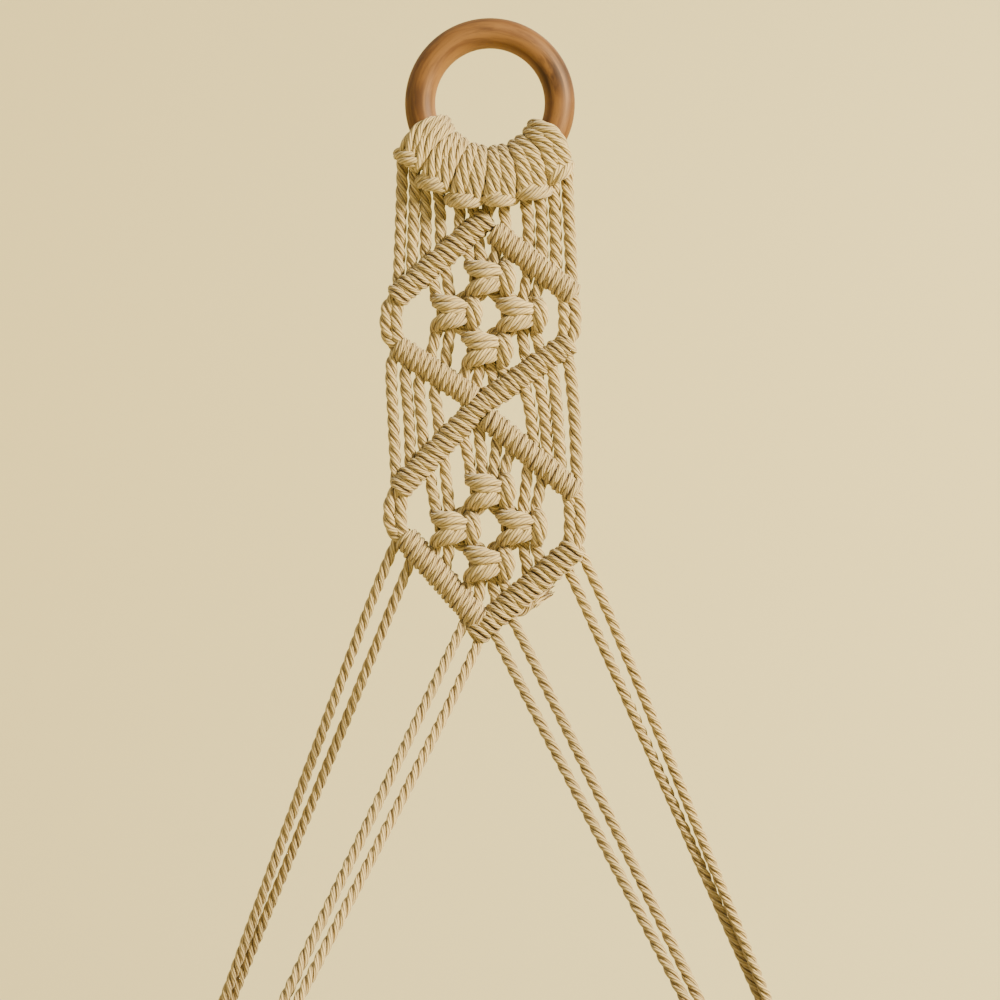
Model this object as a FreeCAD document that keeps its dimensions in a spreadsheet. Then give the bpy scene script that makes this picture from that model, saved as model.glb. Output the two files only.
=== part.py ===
import FreeCAD, Part
import Sketcher

import math
import os

from FreeCAD import Placement, Rotation, Vector

# A knotted cotton plant hanger: a wooden ring, a flat knotted panel below it, four pairs of
# taut cords that spread to a round pot, the net that holds the pot, and a tassel.
# Millimetres. The origin is the top of the ring's hole, where the hook bears. +X is to the
# right seen from the front, +Y points away from the front and +Z points up. A level is a
# distance below the origin.

SIZES = (
    ("ring_hole", 36.0, "hole of the wooden ring"),
    ("ring_tube", 10.0, "thickness of the ring"),
    ("cord_size", 3.5, "diameter of the free cord"),
    ("pressed_cord", 3.2, "diameter of the cord where a knot squeezes it"),
    ("running_gap", 0.3, "clearance between pieces that move on each other"),
    ("seat_gap", 0.2, "clearance between cords and the knots they enter"),
    ("bar_radius", 2.5, "radius of the cross bar of a lark's head"),
    ("bar_length", 5.2, "distance between the ball ends of the cross bar"),
    ("row_radius", 3.9, "outer radius of a row of half hitches"),
    ("row_wraps", 10, "turns of cord in one row of half hitches"),
    ("knot_width", 14.6, "width of a square knot"),
    ("knot_height", 10.0, "height of a square knot"),
    ("knot_depth", 8.4, "front to back size of a square knot"),
    ("knot_fillet", 3.2, "rounding of a square knot"),
    ("pot_rim", 106.0, "outer radius of the pot at its rim"),
    ("pot_base", 76.0, "outer radius of the pot at its base"),
    ("pot_height", 165.0, "height of the pot"),
    ("pot_wall", 6.0, "wall of the pot"),
    ("pot_base_fillet", 14.0, "rounding of the pot's base edge"),
    ("pot_rim_fillet", 2.6, "rounding of the pot's rim"),
    ("pot_drain", 7.0, "radius of the drain hole"),
    ("tie_width", 12.0, "width of a knot that ties a pair of cords"),
    ("tie_height", 13.0, "height of a knot that ties a pair of cords"),
    ("tie_fillet", 4.5, "rounding of a knot that ties a pair of cords"),
    ("wrap_radius", 9.0, "outer radius of the gathering wrap"),
    ("wrap_height", 30.0, "height of the gathering wrap"),
    ("wrap_turns", 9, "turns of the gathering wrap"),
    ("tassel_neck", 7.0, "radius of the tassel at its pivot"),
    ("tassel_foot", 12.0, "radius of the tassel at its foot"),
    ("tassel_length", 78.0, "length of the tassel below its pivot"),
)
size = {alias: value for alias, value, note in SIZES}

cord_radius = size["cord_size"] / 2
ring_centre = Vector(0, 0, -size["ring_hole"] / 2)
ring_radius = (size["ring_hole"] + size["ring_tube"]) / 2
ring_foot = size["ring_hole"] + size["ring_tube"]

# Lark's heads: their angles from straight down, left negative, half the distance between the two
# turns of one head, and the place of the cross bar from the middle of the ring's tube.
head_angles = (-62.5, -38.5, -14.5, 9.5, 33.5, 57.5)
turn_spread = 2.4
turn_half_angle = math.degrees(math.asin(turn_spread / ring_radius))
bar_reach = 10.0
bar_forward = 4.0
side_drop = 2.6


def spaced(places, inward):
    """Places from a side edge inward (1 to the right, -1 to the left), never less than a cord apart."""
    step = inward * (size["cord_size"] + size["seat_gap"])
    result = [places[0]]
    for place in places[1:]:
        furthest = max if inward > 0 else min
        result.append(furthest(place, result[-1] + step))
    return result


# The panel's middle line and half width, and where its cords leave the heads and enter the rows.
# The outer four cords of each side keep their places from the edge, the inner two from the middle.
panel_axis = -1.5
panel_half = 29.5
left_edge = panel_axis - panel_half
right_edge = panel_axis + panel_half
left_entries = spaced((left_edge + 0.5, left_edge + 5.0, left_edge + 9.6, left_edge + 14.6,
                       panel_axis - 8.9, panel_axis - 4.1), 1)
right_entries = spaced((right_edge - 1.0, right_edge - 6.2, right_edge - 10.8, right_edge - 15.2,
                        panel_axis + 10.6, panel_axis + 6.9), -1)
right_leans = (1.8, 0.8, 0.4, 0.2, 0.9, 1.8)
right_tops = [place - lean for place, lean in zip(right_entries, right_leans)]
beside_gap = size["cord_size"] + 0.6
knot_entry = 5.2

# Pot, net and tassel. The far pairs of arms go behind the pot's middle, the near pairs in front.
pot_axis = 1.0
rim_level = ring_foot + 297.0
base_level = rim_level + size["pot_height"]
upper_tie_level = rim_level + 28.0
lower_tie_level = rim_level + 112.0
wrap_level = base_level + 46.0
tassel_level = wrap_level + size["wrap_height"] + size["running_gap"] + size["tassel_neck"]
arm_azimuths = (153.0, 223.0, 317.0, 24.0)
pair_half = cord_radius + size["seat_gap"]

# How far the net stands out from the pot: the arms' middle lines at the rim, every other piece
# at the wall, the ends of slanting cords from their ties, and the fan of cords at the wrap.
arm_stand = cord_radius + 4.6
hug_gap = 1.9
cord_stand = cord_radius + hug_gap
tie_half = size["tie_height"] / 2
tie_stand = size["tie_width"] / 2 + hug_gap
slant_gap = 1.4
wrap_fan = 22.0
gather_radius = 6.6

document = FreeCAD.newDocument("MacramePlanter")
sheet = document.addObject("Spreadsheet::Sheet", "Sizes")
for row_number, (alias, value, note) in enumerate(SIZES, start=1):
    sheet.set(f"A{row_number}", note)
    sheet.set(f"B{row_number}", str(value))
    sheet.setAlias(f"B{row_number}", alias)
document.recompute()

nodes = []


def keep(label, piece):
    piece.Label = label
    nodes.append(piece)
    return piece


def turned_to(start, direction):
    """Placement at start whose local Z runs along direction."""
    return Placement(start, Rotation(Vector(0, 0, 1), direction))


def rod(name, start, end, radius_formula):
    piece = document.addObject("Part::Cylinder", name)
    piece.setExpression("Radius", radius_formula)
    piece.Height = (end - start).Length
    piece.Placement = turned_to(start, end - start)
    return piece


def joined(kind, name, pieces):
    """A Part::Compound or Part::MultiFuse of the pieces."""
    union = document.addObject(kind, name)
    setattr(union, "Links" if kind == "Part::Compound" else "Shapes", pieces)
    return union


def origin_feature(body, role):
    return next(item for item in body.Origin.OriginFeatures if item.Role == role)


def outline_sketch(body, name, points):
    """Closed polygon on the body's XZ plane, its corners joined."""
    sketch = body.newObject("Sketcher::SketchObject", name)
    sketch.AttachmentSupport = (origin_feature(body, "XZ_Plane"), [""])
    sketch.MapMode = "FlatFace"
    count = len(points)
    for index, (across, up) in enumerate(points):
        next_across, next_up = points[(index + 1) % count]
        sketch.addGeometry(Part.LineSegment(Vector(across, up, 0), Vector(next_across, next_up, 0)), False)
    for index in range(count):
        sketch.addConstraint(Sketcher.Constraint("Coincident", index, 2, (index + 1) % count, 1))
    return sketch


def bind_size(sketch, constraint, formula):
    index = sketch.addConstraint(constraint)
    sketch.setExpression(f"Constraints[{index}]", formula)


# Ring

def make_ring():
    ring = document.addObject("Part::Torus", "Ring")
    ring.setExpression("Radius1", "(Sizes.ring_hole + Sizes.ring_tube) / 2")
    ring.setExpression("Radius2", "Sizes.ring_tube / 2")
    ring.Placement = turned_to(ring_centre, Vector(0, 1, 0))
    keep("hanging_ring", ring)


# Lark's heads

def around_ring(angle, reach):
    """Point at this angle from straight down and this distance from the ring's centre."""
    turn = math.radians(angle)
    return ring_centre + Vector(reach * math.sin(turn), 0, -reach * math.cos(turn))


def along_ring(angle):
    turn = math.radians(angle)
    return Vector(math.cos(turn), 0, math.sin(turn))


def make_turn(name, angle):
    """One turn of cord round the ring's tube."""
    turn = document.addObject("Part::Torus", name)
    turn.setExpression("Radius1", "(Sizes.ring_tube + Sizes.pressed_cord) / 2 + Sizes.running_gap")
    turn.setExpression("Radius2", "Sizes.pressed_cord / 2")
    turn.Placement = turned_to(around_ring(angle, ring_radius), along_ring(angle))
    return turn


def make_head(number, angle):
    """Two turns round the ring, held by a cross bar in front of the hanging cords."""
    name = f"Head{number}"
    middle = around_ring(angle, ring_radius + bar_reach) - Vector(0, bar_forward, 0)
    reach = along_ring(angle) * (size["bar_length"] / 2)
    pieces = [
        make_turn(f"{name}TurnLeft", angle - turn_half_angle),
        make_turn(f"{name}TurnRight", angle + turn_half_angle),
        rod(f"{name}Bar", middle - reach, middle + reach, "Sizes.bar_radius"),
    ]
    for side, place in (("Left", middle - reach), ("Right", middle + reach)):
        ball = document.addObject("Part::Sphere", f"{name}Ball{side}")
        ball.setExpression("Radius", "Sizes.bar_radius")
        ball.Placement.Base = place
        pieces.append(ball)
    keep(f"larks_head_{number}", joined("Part::MultiFuse", f"{name}Fusion", pieces))


# Rows of half hitches

def flat(x, drop):
    """Point of the panel's middle plane, at this drop below the foot of the ring."""
    return Vector(x, 0, -ring_foot - drop)


row_ends = {
    "first_upper_left_row": (flat(panel_axis + 1.0, 12.4), flat(left_edge - 0.8, 37.0)),
    "first_upper_right_row": (flat(panel_axis + 4.4, 16.2), flat(right_edge, 36.0)),
    "first_lower_left_row": (flat(left_edge, 51.7), flat(panel_axis - 5.3, 68.5)),
    "first_lower_right_row": (flat(right_edge - 1.0, 50.0), flat(panel_axis - 2.8, 72.6)),
    "second_upper_left_row": (flat(panel_axis - 4.0, 73.9), flat(left_edge, 100.2)),
    "second_upper_right_row": (flat(panel_axis + 1.9, 76.7), flat(right_edge + 1.0, 101.1)),
    "second_lower_left_row": (flat(left_edge + 2.2, 114.2), flat(panel_axis - 3.4, 140.6)),
    "second_lower_right_row": (flat(right_edge + 1.0, 117.5), flat(panel_axis - 1.9, 145.6)),
}


def make_turns(name, radius_alias, length, turns_alias):
    """A body along its own Z: turns of pressed cord side by side round a core."""
    body = document.addObject("PartDesign::Body", name + "_body")
    core = body.newObject("PartDesign::AdditiveCylinder", name + "_core")
    core.setExpression("Radius", f"Sizes.{radius_alias} - Sizes.pressed_cord / 4")
    core.Height = length
    pitch = length / size[turns_alias]
    turn = body.newObject("PartDesign::AdditiveTorus", name + "_turn")
    turn.setExpression("Radius1", f"Sizes.{radius_alias} - Sizes.pressed_cord / 2")
    turn.setExpression("Radius2", "Sizes.pressed_cord / 2")
    turn.Placement.Base = Vector(0, 0, pitch / 2)
    pattern = body.newObject("PartDesign::LinearPattern", name + "_pattern")
    pattern.Originals = [turn]
    pattern.Direction = (origin_feature(body, "Z_Axis"), [""])
    pattern.Length = length - pitch
    pattern.setExpression("Occurrences", f"Sizes.{turns_alias}")
    body.Tip = pattern
    return body


def make_row(label, start, end):
    row = make_turns(label, "row_radius", (end - start).Length, "row_wraps")
    row.Placement = turned_to(start, end - start)
    keep(label, row)


def row_envelope(label, start, end):
    """The row with its seat clearance, which trims the cords that enter it."""
    overrun = (end - start).normalize() * size["seat_gap"]
    return rod(label + "_envelope", start - overrun, end + overrun, "Sizes.row_radius + Sizes.seat_gap")


def row_middle(label, x):
    """Point of the row's middle line at this x."""
    start, end = row_ends[label]
    share = (x - start.x) / (end.x - start.x)
    return start + (end - start) * share


# Rounded blocks: square knots in the panel and the knots that tie the net

knot_centres = {
    "first_top_knot": flat(panel_axis + 0.7, 30.0),
    "first_left_knot": flat(panel_axis - 10.5, 41.2),
    "first_right_knot": flat(panel_axis + 11.1, 42.0),
    "first_bottom_knot": flat(panel_axis - 0.3, 53.2),
    "second_top_knot": flat(panel_axis + 0.7, 100.0),
    "second_left_knot": flat(panel_axis - 10.7, 112.2),
    "second_right_knot": flat(panel_axis + 11.1, 112.0),
    "second_bottom_knot": flat(panel_axis + 0.3, 123.8),
}


def make_block(label, width_formula, height_formula, depth_formula, rounding_formula):
    """A block about its body's origin, its width on X, height on Z and depth on Y."""
    body = document.addObject("PartDesign::Body", label + "_body")
    corners = ((-5, -4), (5, -4), (5, 4), (-5, 4))
    sketch = outline_sketch(body, label + "_outline", corners)
    for line in (0, 2):
        sketch.addConstraint(Sketcher.Constraint("Horizontal", line))
    for line in (1, 3):
        sketch.addConstraint(Sketcher.Constraint("Vertical", line))
    sketch.addConstraint(Sketcher.Constraint("Symmetric", 0, 1, 1, 2, -1, 1))
    bind_size(sketch, Sketcher.Constraint("DistanceX", 0, 1, 0, 2, 10), width_formula)
    bind_size(sketch, Sketcher.Constraint("DistanceY", 1, 1, 1, 2, 8), height_formula)
    pad = body.newObject("PartDesign::Pad", label + "_pad")
    pad.Profile = sketch
    pad.setExpression("Length", depth_formula)
    pad.Midplane = True
    document.recompute()
    fillet = body.newObject("PartDesign::Fillet", label + "_fillet")
    fillet.Base = (pad, [f"Edge{index}" for index in range(1, len(pad.Shape.Edges) + 1)])
    fillet.setExpression("Radius", rounding_formula)
    body.Tip = fillet
    return keep(label, body)


def make_square_knot(label, centre):
    knot = make_block(
        label, "Sizes.knot_width", "Sizes.knot_height", "Sizes.knot_depth", "Sizes.knot_fillet"
    )
    knot.Placement.Base = centre


def knot_envelope(label, centre):
    """The knot with its seat clearance, which trims the cords that enter it."""
    box = document.addObject("Part::Box", label + "_envelope")
    for side, name in (("Length", "knot_width"), ("Height", "knot_height"), ("Width", "knot_depth")):
        box.setExpression(side, f"Sizes.{name} + 2 * Sizes.seat_gap")
    half = Vector(size["knot_width"], size["knot_depth"], size["knot_height"]) / 2
    margin = Vector(1, 1, 1) * size["seat_gap"]
    box.Placement.Base = centre - half - margin
    return box


# Cords of the panel: straight stretches from one knot to the next, trimmed where they enter

def make_cords(label, runs, envelope):
    cords = [
        rod(f"{label}_{index}", start, end, "Sizes.cord_size / 2")
        for index, (start, end) in enumerate(runs)
    ]
    trimmed = document.addObject("Part::Cut", label + "_trimmed")
    trimmed.Base = joined("Part::Compound", label + "_cords", cords)
    trimmed.Tool = envelope
    keep(label, trimmed)


def entry(label, x, side):
    """Just inside the row, on its upper side (1) or lower side (-1), at this x."""
    return row_middle(label, x) + Vector(0, 0, side * size["row_radius"] * 0.8)


def below_heads(x):
    """Where a cord comes out below the cross bar of its lark's head, at this x."""
    reach = ring_radius + bar_reach + size["bar_radius"] - size["running_gap"]
    reach += side_drop * abs(x) / panel_half
    return ring_centre + Vector(x, 0, -math.sqrt(reach ** 2 - x ** 2))


def upper_runs(row_label, tops, entries):
    return [(below_heads(top), entry(row_label, x, 1)) for top, x in zip(tops, entries)]


def row_to_row(upper, lower, entries, lean=0.0):
    return [(entry(upper, x, -1), entry(lower, x + lean, 1)) for x in entries]


def row_to_knot(row, knot, offsets, side):
    """From the row's lower side (-1) or upper side (1) to the knot's middle."""
    centre = knot_centres[knot]
    return [(entry(row, centre.x + offset, side), centre + Vector(offset, 0, 0)) for offset in offsets]


def diamond_runs(name):
    """Cords between the rows and the square knots of one diamond, and at its side corners."""
    runs = []
    for side, sign in (("left", -1), ("right", 1)):
        upper_row = f"{name}_upper_{side}_row"
        lower_row = f"{name}_lower_{side}_row"
        pair = (sign * knot_entry, sign * (knot_entry - beside_gap))
        runs += row_to_knot(upper_row, f"{name}_top_knot", pair[:1], -1)
        runs += row_to_knot(upper_row, f"{name}_{side}_knot", pair, -1)
        runs += row_to_knot(lower_row, f"{name}_{side}_knot", pair, 1)
        runs += row_to_knot(lower_row, f"{name}_bottom_knot", pair[:1], 1)
        corner = panel_axis + sign * (panel_half - 3.0)
        runs += row_to_row(upper_row, lower_row, (corner, corner - sign * beside_gap))
    return runs


# Free and net cords: straight runs joined by tangent arcs

def rounded_wire(points):
    """Wire through the runs, each corner an arc as large as its runs allow, and the radii."""
    edges = []
    radii = []
    start = points[0]
    for before, corner, after in zip(points, points[1:], points[2:]):
        into = (corner - before).normalize()
        out = (after - corner).normalize()
        half_turn = into.getAngle(out) / 2
        setback = 0.45 * min((corner - before).Length, (after - corner).Length)
        radius = setback / math.tan(half_turn)
        inward = (out - into).normalize() * (radius / math.cos(half_turn) - radius)
        arc_start = corner - into * setback
        arc_end = corner + out * setback
        edges.append(Part.LineSegment(start, arc_start).toShape())
        edges.append(Part.Arc(arc_start, corner + inward, arc_end).toShape())
        radii.append(radius)
        start = arc_end
    edges.append(Part.LineSegment(start, points[-1]).toShape())
    return Part.Wire(edges), radii


def cord_tube(label, points):
    """Round tube along the route, with its volume compared with section times length."""
    path, radii = rounded_wire(points)
    section = Part.Wire([Part.makeCircle(cord_radius, points[0], points[1] - points[0])])
    tube = path.makePipeShell([section], True, True)
    expected = math.pi * cord_radius ** 2 * path.Length
    shown = " ".join(f"{radius:.0f}" for radius in radii)
    print(f"{label}: length {path.Length:.1f}, volume ratio {tube.Volume / expected:.4f}, radii {shown}")
    return tube


def tube_feature(label, shape):
    feature = document.addObject("Part::Feature", label + "_feature")
    feature.Shape = shape
    return keep(label, feature)


def wall_radius(level):
    """Outer radius of the pot at this level."""
    return size["pot_rim"] - (size["pot_rim"] - size["pot_base"]) * (level - rim_level) / size["pot_height"]


def beside_pot(azimuth, level, stand, sideways=0.0):
    """Point this far out from the pot's wall, and this far along the wall from the azimuth."""
    turn = math.radians(azimuth)
    out = Vector(math.cos(turn), math.sin(turn), 0)
    along = Vector(-math.sin(turn), math.cos(turn), 0)
    return Vector(pot_axis, 0, -level) + out * (wall_radius(level) + stand) + along * sideways


# Each arm's pair, where it leaves the panel, and its side in the pair, counterclockwise 1.
arm_tops = (
    ("far_left_outer_arm", 0, flat(left_edge - 2.8, 120.6), 1),
    ("far_left_inner_arm", 0, flat(left_edge + 3.4, 126.6), -1),
    ("near_left_outer_arm", 1, flat(panel_axis - 7.2, 143.4), -1),
    ("near_left_inner_arm", 1, flat(panel_axis - 1.9, 151.6), 1),
    ("near_right_inner_arm", 2, flat(panel_axis + 4.7, 150.6), -1),
    ("near_right_outer_arm", 2, flat(panel_axis + 10.1, 144.0), 1),
    ("far_right_inner_arm", 3, flat(right_edge - 1.4, 126.6), 1),
    ("far_right_outer_arm", 3, flat(right_edge + 4.4, 122.2), -1),
)


def make_arm(label, pair, top, side):
    """From the panel's lower edge, over the pot's rim, to the upper tie of its pair."""
    azimuth = arm_azimuths[pair]
    sideways = side * pair_half
    corner = beside_pot(azimuth, rim_level, arm_stand, sideways)
    foot = beside_pot(azimuth, upper_tie_level - tie_half - size["seat_gap"], tie_stand, sideways)
    tube_feature(label, cord_tube(label, [top, corner, foot]))


def make_tie(label, azimuth, level):
    tie = make_block(label, "Sizes.tie_width", "Sizes.tie_height", "Sizes.tie_width", "Sizes.tie_fillet")
    centre = beside_pot(azimuth, level - tie_half, tie_stand) - Vector(0, 0, tie_half)
    tie.Placement = Placement(centre, Rotation(Vector(0, 0, 1), azimuth))


def between(first, second, share):
    """Azimuth this share of the way on from the first to the second, counterclockwise."""
    return first + ((second - first) % 360.0) * share


lower_azimuths = [between(arm_azimuths[index], arm_azimuths[(index + 1) % 4], 0.5) for index in range(4)]


def side_route(azimuth, lower_azimuth, side):
    """From below an upper tie, round the pot's wall, to the top of a lower tie."""
    span = (lower_azimuth - azimuth + 180.0) % 360.0 - 180.0
    start_level = upper_tie_level + tie_half + slant_gap
    end_level = lower_tie_level - tie_half - slant_gap
    points = [beside_pot(azimuth, start_level, tie_stand, side * pair_half)]
    for share in (0.14, 0.38, 0.62, 0.86):
        level = start_level + (end_level - start_level) * share
        points.append(beside_pot(azimuth + span * share, level, cord_stand))
    points.append(beside_pot(lower_azimuth, end_level, tie_stand, -side * pair_half))
    return points


def make_side_cords():
    tubes = []
    for index, azimuth in enumerate(arm_azimuths):
        ahead = side_route(azimuth, lower_azimuths[index], 1)
        behind = side_route(azimuth, lower_azimuths[index - 1], -1)
        tubes.append(cord_tube(f"side_cord_{index}_ahead", ahead))
        tubes.append(cord_tube(f"side_cord_{index}_behind", behind))
    tube_feature("net_side_cords", Part.makeCompound(tubes))


def base_route(azimuth, side):
    """From below a lower tie, round the pot's base edge, to the top of the gathering wrap."""
    turn = math.radians(azimuth + side * wrap_fan)
    gathered = Vector(pot_axis, 0, -wrap_level) + Vector(math.cos(turn), math.sin(turn), 0) * gather_radius
    return [
        beside_pot(azimuth, lower_tie_level + tie_half + size["seat_gap"], tie_stand, side * pair_half),
        beside_pot(azimuth, base_level - 14.0, cord_stand + 1.2, side * pair_half),
        beside_pot(azimuth, base_level + 8.0, cord_stand - 9.0, side * (pair_half + 0.6)),
        gathered + Vector(0, 0, cord_radius + size["seat_gap"]),
    ]


def make_base_cords():
    tubes = []
    for index, azimuth in enumerate(lower_azimuths):
        for side in (-1, 1):
            tubes.append(cord_tube(f"base_cord_{index}_{side}", base_route(azimuth, side)))
    tube_feature("net_base_cords", Part.makeCompound(tubes))


# Pot, gathering wrap and tassel

def circle_edges(shape, height, radii):
    """Names of the circular edges at this height with one of these radii."""
    names = []
    for index, edge in enumerate(shape.Edges, start=1):
        curve = edge.Curve
        if isinstance(curve, Part.Circle) and abs(curve.Center.z - height) < 0.01:
            if any(abs(curve.Radius - radius) < 0.01 for radius in radii):
                names.append(f"Edge{index}")
    return names


def make_pot():
    body = document.addObject("PartDesign::Body", "pot_body")
    points = ((7, 0), (76, 0), (106, 165), (100, 165), (70, 6), (7, 6))
    sketch = outline_sketch(body, "pot_outline", points)
    for line in (0, 2, 4):
        sketch.addConstraint(Sketcher.Constraint("Horizontal", line))
    sketch.addConstraint(Sketcher.Constraint("Vertical", 5))
    sketch.addConstraint(Sketcher.Constraint("PointOnObject", 0, 1, -1))
    bind_size(sketch, Sketcher.Constraint("DistanceX", -1, 1, 0, 1, 7), "Sizes.pot_drain")
    bind_size(sketch, Sketcher.Constraint("DistanceX", -1, 1, 0, 2, 76), "Sizes.pot_base")
    bind_size(sketch, Sketcher.Constraint("DistanceX", -1, 1, 1, 2, 106), "Sizes.pot_rim")
    bind_size(sketch, Sketcher.Constraint("DistanceX", 2, 2, 2, 1, 6), "Sizes.pot_wall")
    bind_size(sketch, Sketcher.Constraint("DistanceX", -1, 1, 3, 2, 70), "Sizes.pot_base - Sizes.pot_wall")
    bind_size(sketch, Sketcher.Constraint("DistanceY", -1, 1, 1, 2, 165), "Sizes.pot_height")
    bind_size(sketch, Sketcher.Constraint("DistanceY", -1, 1, 4, 1, 6), "Sizes.pot_wall")
    revolution = body.newObject("PartDesign::Revolution", "pot_revolution")
    revolution.Profile = sketch
    revolution.ReferenceAxis = (sketch, ["V_Axis"])
    revolution.Angle = 360
    document.recompute()
    rounded = revolution
    for name, height, radii, formula in (
        ("pot_foot_round", 0, (size["pot_base"],), "Sizes.pot_base_fillet"),
        ("pot_rim_round", size["pot_height"], (size["pot_rim"], size["pot_rim"] - size["pot_wall"]),
         "Sizes.pot_rim_fillet"),
    ):
        fillet = body.newObject("PartDesign::Fillet", name)
        fillet.Base = (rounded, circle_edges(rounded.Shape, height, radii))
        fillet.setExpression("Radius", formula)
        body.Tip = fillet
        document.recompute()
        rounded = fillet
    body.Placement.Base = Vector(pot_axis, 0, -base_level)
    keep("pot", body)


def make_wrap():
    wrap = make_turns("wrap", "wrap_radius", size["wrap_height"], "wrap_turns")
    wrap.Placement.Base = Vector(pot_axis, 0, -wrap_level - size["wrap_height"])
    keep("gathering_wrap", wrap)


def make_tassel():
    """A bundle of cut cords that swings about the middle of its round neck."""
    body = document.addObject("PartDesign::Body", "tassel_body")
    neck = body.newObject("PartDesign::AdditiveSphere", "tassel_neck")
    neck.setExpression("Radius", "Sizes.tassel_neck")
    skirt = body.newObject("PartDesign::AdditiveCone", "tassel_skirt")
    skirt.setExpression("Radius1", "Sizes.tassel_foot")
    skirt.setExpression("Radius2", "Sizes.tassel_neck")
    skirt.setExpression("Height", "Sizes.tassel_length")
    skirt.Placement.Base = Vector(0, 0, -size["tassel_length"])
    body.Tip = skirt
    body.Placement.Base = Vector(pot_axis, 0, -tassel_level)
    keep("tassel", body)


def make_trimmed_tails():
    """Cut ends of the four cords that stop at the lowest rows: 90 degrees is straight behind."""
    tails = []
    stand = size["row_radius"] + cord_radius + size["seat_gap"]
    for index, (row, shares, swing) in enumerate((
        ("second_lower_right_row", (0.66, 0.30), 32.0),
        ("second_lower_right_row", (0.90, 0.62), 90.0),
        ("second_lower_left_row", (0.80, 0.50), 90.0),
        ("second_lower_left_row", (0.46, 0.16), 90.0),
    )):
        start, end = row_ends[row]
        outward = (end - start).cross(Vector(0, 1, 0)).normalize()
        if outward.z > 0:
            outward = -outward
        turn = math.radians(swing)
        shift = (outward * math.cos(turn) + Vector(0, math.sin(turn), 0)) * stand
        points = [start + (end - start) * share + shift for share in shares]
        tails.append(rod(f"trimmed_tail_{index}", points[0], points[1], "Sizes.cord_size / 2"))
    keep("trimmed_tails", joined("Part::Compound", "trimmed_tails_group", tails))


make_ring()
for head_number, head_angle in enumerate(head_angles, start=1):
    make_head(head_number, head_angle)
for row_label, (row_start, row_end) in row_ends.items():
    make_row(row_label, row_start, row_end)
for knot_label, knot_centre in knot_centres.items():
    make_square_knot(knot_label, knot_centre)

envelopes = [row_envelope(label, start, end) for label, (start, end) in row_ends.items()]
envelopes += [knot_envelope(label, centre) for label, centre in knot_centres.items()]
envelope = joined("Part::MultiFuse", "envelope", envelopes)

make_cords(
    "upper_left_cords",
    upper_runs("first_upper_left_row", left_entries[:4], left_entries[:4]),
    envelope,
)
make_cords(
    "upper_centre_cords",
    upper_runs("first_upper_left_row", left_entries[4:], left_entries[4:])
    + upper_runs("first_upper_right_row", right_tops[4:], right_entries[4:]),
    envelope,
)
make_cords(
    "upper_right_cords",
    upper_runs("first_upper_right_row", right_tops[:4], right_entries[:4]),
    envelope,
)
make_cords("first_inner_cords", diamond_runs("first"), envelope)
make_cords("second_inner_cords", diamond_runs("second"), envelope)
make_cords(
    "middle_left_cords",
    row_to_row("first_lower_left_row", "second_upper_left_row", left_entries[:4], -0.6),
    envelope,
)
make_cords(
    "middle_right_cords",
    row_to_row("first_lower_right_row", "second_upper_right_row", right_entries[:4], 0.6),
    envelope,
)
make_trimmed_tails()
for arm_label, arm_pair, arm_top, arm_side in arm_tops:
    make_arm(arm_label, arm_pair, arm_top, arm_side)
for tie_number, tie_azimuth in enumerate(arm_azimuths, start=1):
    make_tie(f"upper_tie_{tie_number}", tie_azimuth, upper_tie_level)
for tie_number, tie_azimuth in enumerate(lower_azimuths, start=1):
    make_tie(f"lower_tie_{tie_number}", tie_azimuth, lower_tie_level)
make_side_cords()
make_base_cords()
make_wrap()
make_tassel()
make_pot()

document.recompute()
for item in document.Objects:
    if "Invalid" in item.State or "Error" in item.State:
        raise RuntimeError(f"{item.Name} failed to build: {item.State}")
for piece in nodes:
    if piece.Shape.isNull() or not piece.Shape.isValid() or not piece.Shape.Solids:
        raise RuntimeError(f"{piece.Label} has no valid solid")

os.makedirs("parts", exist_ok=True)
for piece in nodes:
    piece.Shape.exportStep(f"parts/{piece.Label}.step")
    print(f"{piece.Label}: {len(piece.Shape.Solids)} solids, {piece.Shape.Volume:.0f} mm3")
print(f"{len(nodes)} nodes")
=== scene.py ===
import math
import random

import bmesh
import bpy
import numpy as np
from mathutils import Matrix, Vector


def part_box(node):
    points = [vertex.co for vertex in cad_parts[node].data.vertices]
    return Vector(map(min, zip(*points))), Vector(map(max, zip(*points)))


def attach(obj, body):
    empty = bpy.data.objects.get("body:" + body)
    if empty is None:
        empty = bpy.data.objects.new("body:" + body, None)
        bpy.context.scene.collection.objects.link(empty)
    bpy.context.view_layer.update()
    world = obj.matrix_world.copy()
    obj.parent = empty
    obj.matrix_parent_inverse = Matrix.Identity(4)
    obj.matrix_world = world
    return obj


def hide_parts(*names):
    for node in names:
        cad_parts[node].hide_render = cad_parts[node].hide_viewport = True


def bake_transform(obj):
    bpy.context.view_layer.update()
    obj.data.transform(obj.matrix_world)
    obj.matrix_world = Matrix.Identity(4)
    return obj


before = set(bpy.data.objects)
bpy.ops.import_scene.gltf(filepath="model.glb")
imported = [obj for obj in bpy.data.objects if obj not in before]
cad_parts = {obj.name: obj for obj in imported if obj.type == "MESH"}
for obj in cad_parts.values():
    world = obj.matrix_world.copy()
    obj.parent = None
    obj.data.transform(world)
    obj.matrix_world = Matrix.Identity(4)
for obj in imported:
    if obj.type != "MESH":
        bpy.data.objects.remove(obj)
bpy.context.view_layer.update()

# A knotted cotton plant hanger on a wooden ring: every cord is a three-ply rope laid along its own
# smooth line. Lengths in the dictionaries are millimetres, and mm turns them into metres.

mm = 0.001
dice = random.Random(11)


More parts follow.
